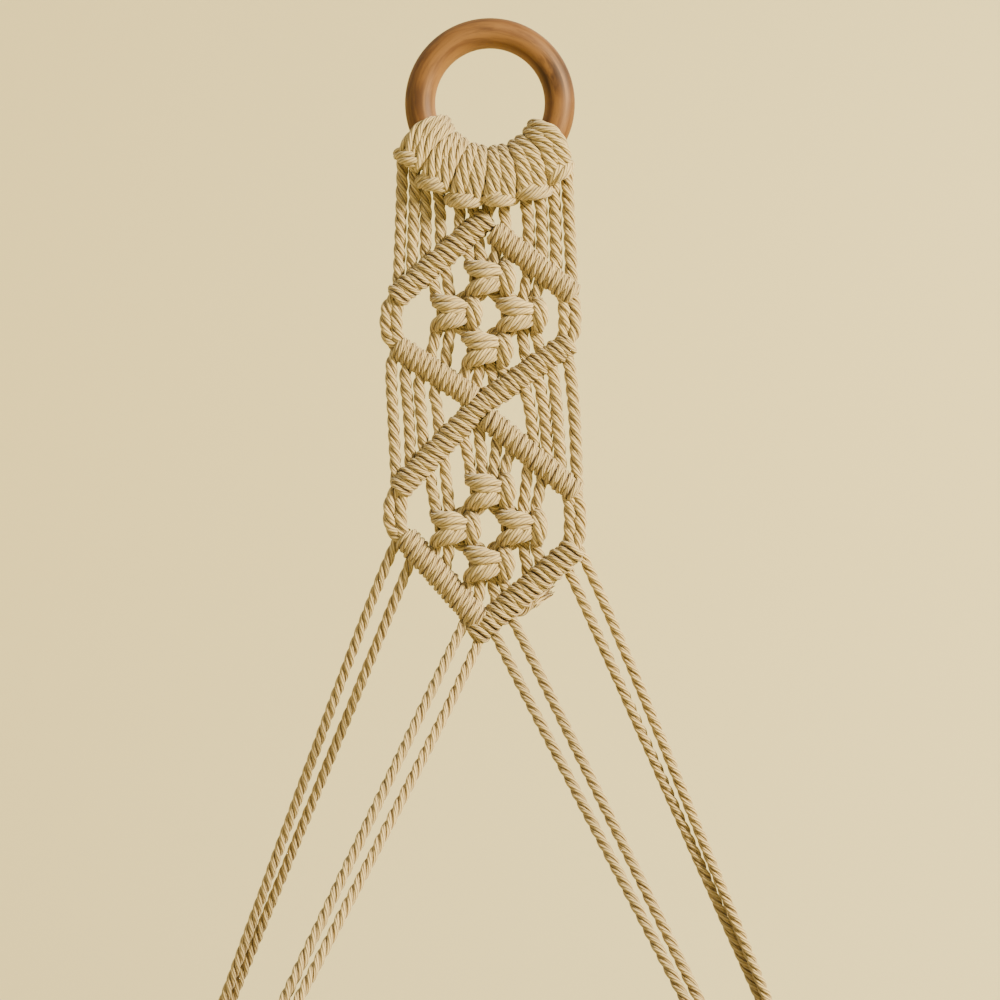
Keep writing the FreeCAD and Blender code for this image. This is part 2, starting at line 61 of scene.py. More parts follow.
camera = {"place": (3.3, -1000.0, -148.7), "lens": 109.3, "sensor": 36.0}
studio = {"floor": -1500.0, "radius": 5200.0, "bend": 1500.0, "wall": 1200.0, "sky": 0.95}
lamps = {
    "key": {"place": (1350.0, -850.0, 520.0), "size": 420.0, "power": 135.0, "tint": (1.0, 0.87, 0.62)},
    "fill": {"place": (-1500.0, -1300.0, 100.0), "size": 1600.0, "power": 4.0, "tint": (1.0, 0.97, 0.86)},
    "back": {"place": (700.0, 1600.0, 700.0), "size": 1200.0, "power": 12.0, "tint": (1.0, 0.92, 0.74)},
    "wall": {"place": (1500.0, 2300.0, 500.0), "size": 1600.0, "power": 90.0, "tint": (1.0, 0.91, 0.70),
             "aim": (1000.0, 5200.0, -100.0)},
}


def makeCamera():
    data = bpy.data.cameras.new("frontCamera")
    data.lens = camera["lens"]
    data.sensor_width = camera["sensor"]
    data.clip_start = 0.05
    data.clip_end = 50
    holder = bpy.data.objects.new("frontCamera", data)
    holder.location = Vector(camera["place"]) * mm
    holder.rotation_euler = (math.radians(90), 0, 0)
    bpy.context.scene.collection.objects.link(holder)
    bpy.context.scene.camera = holder


def makeLamps():
    for name, look in lamps.items():
        target = Vector(look.get("aim", (0, 0, -220.0))) * mm
        data = bpy.data.lights.new(name + "Lamp", "AREA")
        data.shape = "DISK"
        data.size = look["size"] * mm
        data.energy = look["power"]
        data.color = look["tint"]
        holder = bpy.data.objects.new(name + "Lamp", data)
        holder.location = Vector(look["place"]) * mm
        holder.rotation_euler = (target - holder.location).to_track_quat("-Z", "Y").to_euler()
        holder.visible_camera = False
        bpy.context.scene.collection.objects.link(holder)
    world = bpy.data.worlds.new("softSky")
    world.use_nodes = True
    world.node_tree.nodes["Background"].inputs["Color"].default_value = (1.0, 0.93, 0.74, 1)
    world.node_tree.nodes["Background"].inputs["Strength"].default_value = studio["sky"]
    bpy.context.scene.world = world


def keepPiece(name, mesh, material, body=None, stands=()):
    mesh.materials.clear()
    mesh.materials.append(material)
    piece = bpy.data.objects.new(name, mesh)
    bpy.context.scene.collection.objects.link(piece)
    if body:
        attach(piece, body)
    if stands:
        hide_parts(*stands)
    return piece


def addNode(tree, kind, values=None, **settings):
    made = tree.nodes.new(kind)
    for key, value in settings.items():
        setattr(made, key, value)
    for key, value in (values or {}).items():
        made.inputs[key].default_value = value
    return made


def newGroup(name, inputs, outputs):
    tree = bpy.data.node_groups.new(name, "ShaderNodeTree")
    for label, kind, value in inputs:
        socket = tree.interface.new_socket(name=label, in_out="INPUT", socket_type=kind)
        if value is not None:
            socket.default_value = value
    for label, kind in outputs:
        tree.interface.new_socket(name=label, in_out="OUTPUT", socket_type=kind)
    return tree, tree.nodes.new("NodeGroupInput"), tree.nodes.new("NodeGroupOutput")


def mixColour(tree, first, second, factor, blend="MIX"):
    made = addNode(tree, "ShaderNodeMix", data_type="RGBA", blend_type=blend)
    for socket, value in ((made.inputs[0], factor), (made.inputs[6], first), (made.inputs[7], second)):
        if isinstance(value, bpy.types.NodeSocket):
            tree.links.new(value, socket)
        else:
            socket.default_value = value
    return made.outputs[2]


def mathNode(tree, operation, first, second=0.0, third=0.0):
    made = addNode(tree, "ShaderNodeMath", operation=operation)
    for socket, value in zip(made.inputs, (first, second, third)):
        if isinstance(value, bpy.types.NodeSocket):
            tree.links.new(value, socket)
        else:
            socket.default_value = value
    return made.outputs[0]


def newMaterial(name, roughness, specular=0.3):
    material = bpy.data.materials.new(name)
    material.use_nodes = True
    shader = material.node_tree.nodes["Principled BSDF"]
    shader.inputs["Roughness"].default_value = roughness
    shader.inputs["Specular IOR Level"].default_value = specular
    return material, material.node_tree, shader


def bumpFrom(tree, height, shader, strength, distance):
    bump = addNode(tree, "ShaderNodeBump", {"Strength": strength, "Distance": distance * mm})
    tree.links.new(height, bump.inputs["Height"])
    tree.links.new(bump.outputs["Normal"], shader.inputs["Normal"])


# crest is the cord's own colour; groove is painted shade for the grooves between plies and the valleys between yarns.
cotton = {
    "crest": (0.47, 0.365, 0.165, 1), "paintedGrooveShade": (0.135, 0.083, 0.031, 1), "fibre": 0.36,
    "yarns": 0.85, "roughness": 0.9, "sheen": 0.2, "bump": 1.0,
}


# The attribute strand holds the cosine and sine of the place round a ply, turning with its yarns,
# and the length along it. depth is 0 in the heart of the cord and 1 at its outside; the colour is darkened towards the
# heart and in the valleys between the yarns as painted shade.
def fibreGroup():
    tree, given, result = newGroup(
        "fibreLook",
        (("Crest", "NodeSocketColor", (0.7, 0.6, 0.4, 1)), ("PaintedGrooveShade", "NodeSocketColor", (0.3, 0.2, 0.1, 1)),
         ("Contrast", "NodeSocketFloat", 0.3), ("Yarns", "NodeSocketFloat", -0.35)),
        (("Colour", "NodeSocketColor"), ("Height", "NodeSocketFloat")))
    strand = addNode(tree, "ShaderNodeAttribute", attribute_name="strand").outputs["Vector"]
    depth = addNode(tree, "ShaderNodeAttribute", attribute_name="depth").outputs["Fac"]
    shade = addNode(tree, "ShaderNodeAttribute", attribute_name="shade").outputs["Fac"]
    parts = addNode(tree, "ShaderNodeSeparateXYZ")
    tree.links.new(strand, parts.inputs[0])
    layers = []
    for stretch, detail in (((2.6, 2.6, 320.0), 2.5), ((0.9, 0.9, 90.0), 1.5)):  # fibres, then slow changes
        scaled = addNode(tree, "ShaderNodeVectorMath", {1: stretch}, operation="MULTIPLY")
        tree.links.new(strand, scaled.inputs[0])
        noise = addNode(tree, "ShaderNodeTexNoise", {"Scale": 1.0, "Detail": detail, "Roughness": 0.6})
        tree.links.new(scaled.outputs[0], noise.inputs["Vector"])
        layers.append(noise.outputs["Fac"])
    around = mathNode(tree, "ARCTAN2", parts.outputs[1], parts.outputs[0])
    around = mathNode(tree, "MULTIPLY_ADD", around, 3.0, mathNode(tree, "MULTIPLY", layers[1], 2.4))
    ridge = mathNode(tree, "ABSOLUTE", mathNode(tree, "COSINE", around))  # six round yarns in a ply
    # Painted shade: the valleys between the yarns are darkened in colour.
    valleyShadeMask = mathNode(tree, "POWER", mathNode(tree, "SUBTRACT", 1.0, ridge), 1.6)
    place = addNode(tree, "ShaderNodeTexCoord").outputs["Object"]
    patch = addNode(tree, "ShaderNodeTexNoise", {"Scale": 85.0, "Detail": 2.0})
    tree.links.new(place, patch.inputs["Vector"])
    # Painted shade: the colour goes towards the groove shade near the cord's heart (depth) and in the yarn valleys.
    rise = addNode(tree, "ShaderNodeMapRange", {"From Min": 0.48, "From Max": 0.96}, interpolation_type="SMOOTHSTEP")
    tree.links.new(depth, rise.inputs["Value"])
    crest = mathNode(tree, "MULTIPLY_ADD", valleyShadeMask, given.outputs["Yarns"], rise.outputs["Result"])
    base = mixColour(tree, given.outputs["PaintedGrooveShade"], given.outputs["Crest"], crest)
    swing = mathNode(tree, "MULTIPLY_ADD", layers[0], 1.3, mathNode(tree, "MULTIPLY_ADD", layers[1], 0.7, -1.0))
    swing = mathNode(tree, "ADD", swing, mathNode(tree, "MULTIPLY_ADD", patch.outputs["Fac"], 0.5, -0.25))
    swing = mathNode(tree, "MULTIPLY_ADD", swing, given.outputs["Contrast"], shade)
    gain = addNode(tree, "ShaderNodeCombineColor")
    for socket in gain.inputs:
        tree.links.new(swing, socket)
    tree.links.new(mixColour(tree, base, gain.outputs[0], 1.0, "MULTIPLY"), result.inputs["Colour"])
    height = mathNode(tree, "MULTIPLY_ADD", ridge, 0.75, mathNode(tree, "MULTIPLY", layers[0], 0.25))
    tree.links.new(height, result.inputs["Height"])
    return tree


fibreLook = fibreGroup()


def makeCotton(name, look):
    material, tree, shader = newMaterial(name, look["roughness"], 0.2)
    fibres = addNode(tree, "ShaderNodeGroup", node_tree=fibreLook)
    fibres.inputs["Crest"].default_value = look["crest"]
    fibres.inputs["PaintedGrooveShade"].default_value = look["paintedGrooveShade"]
    fibres.inputs["Contrast"].default_value = look["fibre"]
    fibres.inputs["Yarns"].default_value = -look["yarns"]
    tree.links.new(fibres.outputs["Colour"], shader.inputs["Base Color"])
    bumpFrom(tree, fibres.outputs["Height"], shader, look["bump"], 0.35)
    shader.inputs["Sheen Weight"].default_value = look["sheen"]
    shader.inputs["Sheen Roughness"].default_value = 0.5
    return material


cottonCord = makeCotton("cottonCord", cotton)
frayedCotton = makeCotton("frayedCotton", dict(cotton, crest=(0.58, 0.46, 0.24, 1), fibre=0.2, yarns=0.1, bump=0.3))


rope = {"size": 3.5, "plyRadius": {3: 0.92, 5: 0.74}, "lay": 14.2, "step": 0.7, "sides": 8, "yarnTwist": 430.0}


# Even points of the smooth line that has these points, in millimetres, as its control points.
def splineLine(points, step=None, order=3):
    curve = bpy.data.curves.new("guide", "CURVE")
    curve.dimensions = "3D"
    curve.resolution_u = 16
    spline = curve.splines.new("NURBS")
    spline.points.add(len(points) - 1)
    for knot, place in zip(spline.points, points):
        knot.co = (*[value * mm for value in place], 1.0)
    spline.order_u = order
    spline.use_endpoint_u = True
    guide = bpy.data.objects.new("guide", curve)
    mesh = bpy.data.meshes.new_from_object(guide)
    line = np.array([vertex.co for vertex in mesh.vertices], float)
    bpy.data.meshes.remove(mesh)
    bpy.data.objects.remove(guide)
    bpy.data.curves.remove(curve)
    lengths = np.concatenate(([0.0], np.cumsum(np.linalg.norm(np.diff(line, axis=0), axis=1))))
    count = max(4, int(round(lengths[-1] / ((step or rope["step"]) * mm))) + 1)
    places = np.linspace(0, lengths[-1], count)
    return np.column_stack([np.interp(places, lengths, line[:, k]) for k in range(3)])


# The line's own direction and two square to it, carried along without twist or held to a given one.
def crossDirections(line, across=None):
    tangent = np.gradient(line, axis=0)
    tangent /= np.linalg.norm(tangent, axis=1)[:, None]
    sides = np.zeros_like(line)
    side = np.array(across if across is not None else (0.31, 0.83, 0.47), float)
    for index, along in enumerate(tangent):
        if across is not None:
            side = np.array(across, float)
        side = side - along * side.dot(along)
        side /= np.linalg.norm(side)
        sides[index] = side
    return tangent, sides, np.cross(tangent, sides)


def newStore():
    return {"lines": [], "radii": [], "centres": [], "shades": [], "reach": []}


# One round strand with closed ends. centre is the middle of its cord, for how deep each point lies.
def addStrand(store, line, radius, centre=None, shade=1.0, reach=1.0, taper=(1.0, 1.0)):
    count = len(line)
    radii = np.interp(np.linspace(0, 1, count), (0, 0.5, 1), (taper[0], 1, taper[1])) * radius
    lead = (line[0] - line[1]) * 0.12
    tail = (line[-1] - line[-2]) * 0.12
    centre = line if centre is None else centre
    store["lines"].append(np.vstack([line[0] + lead, line, line[-1] + tail]))
    store["radii"].append(np.concatenate([[0.0], radii, [0.0]]))
    store["centres"].append(np.vstack([centre[0], centre, centre[-1]]))
    store["shades"].append(shade)
    store["reach"].append(reach)


# One value, or some from start to end, as one for each of the points.
def perPoint(values, count):
    values = np.atleast_1d(np.array(values, float))
    return np.interp(np.linspace(0, 1, count), np.linspace(0, 1, len(values)), values)


# Three plies laid left-handed round the smooth line, or five finer ones where a knot fluffs the cord out.
# across is the direction in which wide flattens the cord out, and thin is for the other direction.
def addRope(store, points, across=None, wide=1.0, thin=1.0, scale=1.0, phase=None, step=None, order=3,
            lay=None, line=None, plies=3):
    if line is None:
        line = splineLine(points, step, order)
    wide, thin, scale = (perPoint(values, len(line)) for values in (wide, thin, scale))
    tangent, side, up = crossDirections(line, across)
    travelled = np.concatenate(([0.0], np.cumsum(np.linalg.norm(np.diff(line, axis=0), axis=1))))
    phase = dice.uniform(0, 2 * math.pi) if phase is None else phase
    turn = phase - 2 * math.pi * travelled / ((lay or rope["lay"]) * mm)
    shade = 1.0 + dice.uniform(-0.05, 0.05)
    plyRadius = rope["plyRadius"][plies]
    plyOffset = rope["size"] / 2 - plyRadius
    for ply in range(plies):
        angle = turn + ply * 2 * math.pi / plies
        shift = side * (np.cos(angle) * wide * scale)[:, None] + up * (np.sin(angle) * thin * scale)[:, None]
        addStrand(store, line + shift * plyOffset * mm, plyRadius * scale * mm, line,
                  shade + dice.uniform(-0.02, 0.02), (plyOffset + plyRadius) * float(scale.mean()) * mm)
    return line


# Sweeps every strand of the store, and writes where each point lies on its ply.
def ropeMesh(name, store):
    curve = bpy.data.curves.new(name + "Guide", "CURVE")
    curve.dimensions = "3D"
    curve.bevel_depth = 1.0
    curve.bevel_resolution = (rope["sides"] - 4) // 2
    curve.resolution_u = 1
    for line, radii in zip(store["lines"], store["radii"]):
        spline = curve.splines.new("POLY")
        spline.points.add(len(line) - 1)
        spline.points.foreach_set("co", np.column_stack([line, np.ones(len(line))]).ravel())
        spline.points.foreach_set("radius", radii)
        spline.use_smooth = True
    holder = bpy.data.objects.new(name + "Guide", curve)
    mesh = bpy.data.meshes.new_from_object(holder)
    bpy.data.objects.remove(holder)
    bpy.data.curves.remove(curve)
    mesh.name = name
    sides = rope["sides"]
    places = np.zeros(len(mesh.vertices) * 3)
    mesh.vertices.foreach_get("co", places)
    places = places.reshape(-1, 3)
    strand, depth, shade = [], [], []
    start = 0
    for line, centre, tint, reach in zip(store["lines"], store["centres"], store["shades"], store["reach"]):
        count = len(line) * sides
        rings = places[start:start + count].reshape(len(line), sides, 3)
        travelled = np.concatenate(([0.0], np.cumsum(np.linalg.norm(np.diff(line, axis=0), axis=1))))
        travelled = travelled + tint * 7.0
        angle = np.linspace(0, 2 * math.pi, sides, endpoint=False)[None, :] + travelled[:, None] * rope["yarnTwist"]
        strand.append(np.stack([np.cos(angle), np.sin(angle), np.repeat(travelled[:, None], sides, 1)], 2).reshape(-1, 3))
        # depth, from which the cotton material paints shade into the grooves between plies.
        away = np.linalg.norm(rings - centre[:, None, :], axis=2) / reach
        depth.append(away.ravel())
        shade.append(np.full(count, tint))
        start += count
    for label, kind, field, values in (
            ("strand", "FLOAT_VECTOR", "vector", np.vstack(strand)),
            ("depth", "FLOAT", "value", np.concatenate(depth)),
            ("shade", "FLOAT", "value", np.concatenate(shade))):
        mesh.attributes.new(label, kind, "POINT").data.foreach_set(field, values.ravel())
    shape = bmesh.new()
    shape.from_mesh(mesh)
    bmesh.ops.remove_doubles(shape, verts=shape.verts, dist=1e-7)
    bmesh.ops.recalc_face_normals(shape, faces=shape.faces)
    shape.to_mesh(mesh)
    shape.free()
    mesh.shade_smooth()
    return mesh


arms = {
    "farLeftOuter": ("far_left_outer_arm", ((-30.2, 1.0, -161.5), (-33.8, 0, -166.6), (-93.2, 44.2, -324.9),
                                            (-99.99, 49.27, -343), (-97.92, 48.21, -364.3))),
    "farLeftInner": ("far_left_inner_arm", ((-25.4, 1.0, -167.0), (-27.6, 0, -172.6), (-90.9, 47.2, -325.2),
                                            (-98.22, 52.74, -343), (-96.15, 51.69, -364.3))),
    "nearLeftOuter": ("near_left_outer_arm", ((-6.6, 1.0, -185.4), (-8.7, 0, -189.4), (-74.6, -67.1, -326.5),
                                              (-82.50, -75.20, -343), (-80.80, -73.61, -364.3))),
    "nearLeftInner": ("near_left_inner_arm", ((-2.4, 1.0, -191.5), (-3.4, 0, -197.6), (-71.4, -69.5, -327.0),
                                              (-79.84, -78.05, -343), (-78.14, -76.47, -364.3))),
    "nearRightInner": ("near_right_inner_arm", ((0.8, 1.0, -191.0), (3.2, 0, -196.6), (73.3, -69.5, -327.1),
                                                (81.84, -78.05, -343), (80.14, -76.47, -364.3))),
    "nearRightOuter": ("near_right_outer_arm", ((6.2, 1.0, -185.6), (8.6, 0, -190.0), (76.4, -67.1, -326.6),
                                                (84.50, -75.20, -343), (82.80, -73.61, -364.3))),
    "farRightInner": ("far_right_inner_arm", ((23.6, 1.0, -167.0), (26.6, 0, -172.6), (94.9, 42.6, -325.3),
                                              (102.85, 47.48, -343), (100.72, 46.53, -364.3))),
    "farRightOuter": ("far_right_outer_arm", ((28.4, 1.0, -163.4), (32.4, 0, -168.2), (97.0, 39.4, -325.0),
                                              (104.43, 43.92, -343), (102.30, 42.97, -364.3))),
}


def makeArms():
    for name, (node, points) in arms.items():
        line = splineLine(points)
        store = newStore()
        addRope(store, None, line=line, scale=1.06)
        piece = keepPiece(name + "Arm", ropeMesh(name + "Arm", store), cottonCord, stands=(node,))
        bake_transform(piece)


makeCamera()
makeLamps()
makeArms()
print("camera, light and the eight arms")


wood = {
    "light": (0.150, 0.070, 0.019, 1), "mid": (0.094, 0.039, 0.010, 1), "dark": (0.030, 0.013, 0.005, 1),
    "edge": (0.235, 0.120, 0.040, 1), "middle": -18.0, "radius": 23.0,
    "stains": ((20.8, 9.7, 11.0, 0.85), (-24.8, 1.0, 9.0, 0.55), (-3.0, 24.2, 8.0, 0.5)),
}


def makeWood():
    material, tree, shader = newMaterial("turnedWood", 0.58, 0.25)
    place = addNode(tree, "ShaderNodeTexCoord").outputs["Object"]
    moved = addNode(tree, "ShaderNodeVectorMath", {1: (0, 0, -wood["middle"] * mm)}, operation="ADD")
    tree.links.new(place, moved.inputs[0])
    parts = addNode(tree, "ShaderNodeSeparateXYZ")
    tree.links.new(moved.outputs[0], parts.inputs[0])
    x, y, z = parts.outputs
    flat = mathNode(tree, "SQRT", mathNode(tree, "ADD", mathNode(tree, "MULTIPLY", x, x), mathNode(tree, "MULTIPLY", z, z)))
    out = mathNode(tree, "SUBTRACT", flat, wood["radius"] * mm)
    angle = mathNode(tree, "ARCTAN2", x, z)  # its seam is at the foot, under the knots
    grain = addNode(tree, "ShaderNodeCombineXYZ")
    for socket, value, gain in ((0, out, 420.0), (1, y, 420.0), (2, angle, 1.1)):
        tree.links.new(mathNode(tree, "MULTIPLY", value, gain), grain.inputs[socket])
    coarse = addNode(tree, "ShaderNodeTexNoise", {"Scale": 1.0, "Detail": 4.0, "Roughness": 0.6, "Distortion": 0.6})
    tree.links.new(grain.outputs[0], coarse.inputs["Vector"])
    fine = addNode(tree, "ShaderNodeTexNoise", {"Scale": 4.6, "Detail": 3.0, "Roughness": 0.7})
    tree.links.new(grain.outputs[0], fine.inputs["Vector"])
    band = addNode(tree, "ShaderNodeMapRange", {"From Min": 0.36, "From Max": 0.66}, interpolation_type="SMOOTHSTEP")
    tree.links.new(coarse.outputs["Fac"], band.inputs["Value"])
    colour = mixColour(tree, wood["light"], wood["mid"], band.outputs["Result"])
    lines = addNode(tree, "ShaderNodeMapRange", {"From Min": 0.55, "From Max": 0.80, "To Max": 0.45})
    tree.links.new(fine.outputs["Fac"], lines.inputs["Value"])
    colour = mixColour(tree, colour, wood["dark"], lines.outputs["Result"])
    for across, up, width, amount in wood["stains"]:
        near = addNode(tree, "ShaderNodeVectorMath", {1: (across * mm, -2.5 * mm, up * mm)}, operation="DISTANCE")
        tree.links.new(moved.outputs[0], near.inputs[0])
        fade = addNode(tree, "ShaderNodeMapRange", {"From Min": width * 0.25 * mm, "From Max": width * mm,
                                                    "To Min": amount, "To Max": 0.0}, interpolation_type="SMOOTHSTEP")
        tree.links.new(near.outputs["Value"], fade.inputs["Value"])
        ragged = addNode(tree, "ShaderNodeMapRange", {"From Min": 0.38, "From Max": 0.60})
        tree.links.new(coarse.outputs["Fac"], ragged.inputs["Value"])
        colour = mixColour(tree, colour, wood["dark"], mathNode(tree, "MULTIPLY", fade.outputs[0], ragged.outputs[0]))
    rim = addNode(tree, "ShaderNodeMapRange", {"From Min": -3.4 * mm, "From Max": -4.9 * mm, "To Max": 0.55})
    tree.links.new(out, rim.inputs["Value"])
    tree.links.new(mixColour(tree, colour, wood["edge"], rim.outputs["Result"]), shader.inputs["Base Color"])
    bumpFrom(tree, fine.outputs["Fac"], shader, 0.25, 0.1)
    return material


clay = {"light": (0.44, 0.385, 0.30, 1), "warm": (0.36, 0.295, 0.215, 1), "speck": (0.16, 0.10, 0.06, 1)}


def makeClay():
    material, tree, shader = newMaterial("mattClay", 0.7, 0.3)
    place = addNode(tree, "ShaderNodeTexCoord").outputs["Object"]
    cloud = addNode(tree, "ShaderNodeTexNoise", {"Scale": 22.0, "Detail": 4.0})
    dots = addNode(tree, "ShaderNodeTexNoise", {"Scale": 900.0, "Detail": 1.0})
    rings = addNode(tree, "ShaderNodeTexWave", {"Scale": 90.0, "Distortion": 1.5, "Detail": 2.0}, bands_direction="Z")
    for made in (cloud, dots, rings):
        tree.links.new(place, made.inputs["Vector"])
    specks = addNode(tree, "ShaderNodeMapRange", {"From Min": 0.66, "From Max": 0.72, "To Max": 0.8})
    tree.links.new(dots.outputs["Fac"], specks.inputs["Value"])
    warm = mixColour(tree, clay["light"], clay["warm"], cloud.outputs["Fac"])
    tree.links.new(mixColour(tree, warm, clay["speck"], specks.outputs["Result"]), shader.inputs["Base Color"])
    height = mathNode(tree, "MULTIPLY_ADD", rings.outputs["Fac"], 0.7, mathNode(tree, "MULTIPLY", dots.outputs["Fac"], 0.3))
    bumpFrom(tree, height, shader, 0.35, 0.25)
    return material


turnedWood = makeWood()
mattClay = makeClay()
for node, material in (("hanging_ring", turnedWood), ("pot", mattClay)):
    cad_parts[node].data.materials.clear()
    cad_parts[node].data.materials.append(material)
print("ring and pot")


heads = {"ringMiddle": (0, 0, -18.0), "ringRadius": 23.0, "spread": 0.088, "wrapLay": 24.0, "barLay": 22.0,
         "wrapWide": (1.3, 1.38, 1.3, 1.05, 0.9, 1.0, 1.1, 1.0),
         "wrapScale": (1.46, 1.5, 1.42, 1.2, 1.02, 1.05, 1.1, 1.1),
         "barWide": (0.85, 1.12, 1.18, 1.12, 0.85), "barScale": (1.1, 1.45, 1.58, 1.45, 1.1)}
headAngles = (-62.5, -38.5, -14.5, 9.5, 33.5, 57.5)
headBars = ((-25.6, -36.9, -18.0, 9.8), (-18.0, -45.0, -6.0, 10.4), (-8.2, -50.4, 2.0, 10.6),
            (2.8, -49.8, -2.0, 10.8), (13.7, -47.6, 4.0, 10.8), (22.4, -41.4, 34.0, 9.2))  # x, z, tilt, length
headTails = ((-28.8, -24.8), (-21.6, -17.0), (-10.4, -5.6), (-0.8, 4.4), (11.5, 16.2), (20.9, 25.3))


# A point by its side step along the ring, its distance out from the tube's middle, and to the front.
def headPoint(angle, side, outward, front):
    turn = math.radians(angle)
    along = Vector((math.cos(turn), 0, math.sin(turn)))
    away = Vector((math.sin(turn), 0, -math.cos(turn)))
    return Vector(heads["ringMiddle"]) + away * (heads["ringRadius"] + outward) + along * side + Vector((0, -front, 0))


# How high a cord comes out below its lark's head.
def tailTop(x):
    return -18.0 - math.sqrt(35.2 ** 2 - x ** 2)


def makeHead(number, angle, barPlace, tails):
    store = newStore()
    turn = math.radians(angle)
    along = (math.cos(turn), 0, math.sin(turn))
    x, z, tilt, length = barPlace
    barAngle = math.degrees(math.atan2(x, heads["ringMiddle"][2] - z))
    for side, tail in zip((-1, 1), tails):
        loop = ((7.8, 0.6), (9.7, 3.2), (8.6, 7.0), (4.8, 7.9), (0.6, 7.9), (-3.4, 7.2), (-6.8, 4.4), (-7.8, 0),
                (-6.6, -4.6), (-2.8, -7.5), (2.8, -7.6), (7.0, -4.8), (10.2, -2.0))
        points = []
        for out, front in loop:
            bend = (barAngle - angle) * min(max(out / 10, 0), 1)
            points.append(headPoint(angle + bend, side * (heads["ringRadius"] + min(out, 3)) * heads["spread"], out, front))
        points.append(Vector((tail, 0.6, tailTop(tail) - 1.0)))
        addRope(store, points, across=along, wide=heads["wrapWide"], thin=0.82, scale=heads["wrapScale"],
                lay=heads["wrapLay"], plies=5)
    lean = math.radians(tilt)
    barAlong = Vector((math.cos(lean), 0, math.sin(lean)))
    barUp = Vector((-math.sin(lean), 0, math.cos(lean)))
    half = length / 2
    bar = ((-half * 0.98, 0.8, -0.5), (-half, 0.4, 3.0), (-half * 0.55, 0.0, 6.6), (0, -0.3, 7.4),
           (half * 0.55, 0.0, 6.6), (half, 0.4, 3.0), (half * 0.98, 0.8, -0.5))
    points = [Vector((x, -front, z)) + barAlong * step + barUp * rise for step, rise, front in bar]
    addRope(store, points, across=tuple(barUp), wide=heads["barWide"], thin=0.9, scale=heads["barScale"],
            lay=heads["barLay"], plies=5)
    keepPiece(f"larksHead{number}", ropeMesh(f"larksHead{number}", store), cottonCord, "knot_band",
              stands=(f"larks_head_{number}",))


for number, (angle, barPlace, tails) in enumerate(zip(headAngles, headBars, headTails), start=1):
    makeHead(number, angle, barPlace, tails)
print("lark's heads")


hitch = {"rowRadius": 3.9, "wraps": 10, "loop": 2.85, "wide": 1.18, "thin": 0.78, "scale": 1.18, "lay": 34.0}
rowSwell = {"second_lower_left_row": 1.1, "second_lower_right_row": 1.14}
rowsFalling = {
    "first_upper_left_row": -1, "first_upper_right_row": 1, "first_lower_left_row": 1, "first_lower_right_row": -1,
    "second_upper_left_row": -1, "second_upper_right_row": 1, "second_lower_left_row": 1, "second_lower_right_row": -1,
}
# One double half hitch: place round the row in degrees from its upper side, the front at -90,
# steps along the row in wraps, and how far out in shares of the loop.
hitchTurns = ((62, 0.30, 1.75), (90, 0.30, 1.25), (140, 0.42, 1.0), (185, 0.5, 1.0), (225, 0.5, 1.0), (270, 0.5, 1.03),
              (315, 0.5, 1.0), (355, 0.52, 1.0), (400, 0.72, 1.0), (450, 1.0, 1.0), (500, 1.28, 1.0),
              (545, 1.48, 1.0), (585, 1.5, 1.0), (630, 1.5, 1.03), (675, 1.5, 1.0), (715, 1.5, 1.0),
              (755, 1.58, 1.1), (810, 1.68, 1.35), (838, 1.7, 1.9))


# Ends of a row's middle line in millimetres, from its box and the way that it falls.
def rowEnds(node):
    low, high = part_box(node)
    width, height = (high.x - low.x) / mm, (high.z - low.z) / mm
    across, down = width, height
    for step in range(30):
        length = math.hypot(across, down)
        across, down = width - 2 * hitch["rowRadius"] * down / length, height - 2 * hitch["rowRadius"] * across / length
    middle = (low + high) / 2 / mm
    half = Vector((rowsFalling[node] * across / 2, 0, -down / 2))
    return middle - half, middle + half


rows = {node: rowEnds(node) for node in rowsFalling}
# The rows meet at the top, and the second diamond goes on from the first one's last row without a step.
crossing = {"lap": 1.2, "reach": 1.8, "tip": 3.4}
for node, x, z in (("first_upper_left_row", 0.4, 3.6), ("first_upper_right_row", -2.2, 2.6),
                   ("second_upper_right_row", -2.2, 1.9)):
    rows[node] = (rows[node][0] + Vector((x, 0, z)), rows[node][1])
lastStart, lastEnd = rows["first_lower_right_row"]
lapped = lastEnd + (lastStart - lastEnd).normalized() * crossing["lap"]
rows["second_upper_left_row"] = (lapped, rows["second_upper_left_row"][1])
leftStart, leftEnd = rows["first_lower_left_row"]
rows["first_lower_left_row"] = (leftStart, leftEnd + (leftEnd - leftStart).normalized() * crossing["reach"])
for node in ("second_lower_left_row", "second_lower_right_row"):
    start, end = rows[node]
    rows[node] = (start, end + (end - start).normalized() * crossing["tip"])


# The point of the row's middle line at this x.
def rowAt(node, x):
    start, end = rows[node]
    return start + (end - start) * ((x - start.x) / (end.x - start.x))


def makeRow(node):
    start, end = rows[node]
    along = (end - start).normalized()
    pitch = (end - start).length / hitch["wraps"]
    upward = Vector((0, -1, 0)).cross(along)
    upward = upward if upward.z > 0 else -upward
    back = Vector((0, 1, 0))
    swell = rowSwell.get(node, 1.0)
    store = newStore()
    for number in range(hitch["wraps"] // 2):
        base = start + along * pitch * 2 * number
        points = []
        for place, step, reach in hitchTurns:
            turn = math.radians(place)
            wobble = dice.uniform(-0.10, 0.10)
            out = hitch["loop"] * reach * swell + wobble
            points.append(base + along * pitch * (step + dice.uniform(-0.035, 0.035))
                          + (upward * math.cos(turn) + back * math.sin(turn)) * out)
        addRope(store, points, across=tuple(along), wide=pitch / 3.5 * hitch["wide"], thin=hitch["thin"],
                scale=hitch["scale"], lay=hitch["lay"], plies=5)
    addRope(store, [start, start + along * 8, end - along * 8, end], scale=0.85)
    words = node.split("_")
    name = words[0] + "".join(word.capitalize() for word in words[1:])
    keepPiece(name, ropeMesh(name, store), cottonCord, "panel", stands=(node,))


for node in rowsFalling:
    makeRow(node)
print("rows of half hitches")


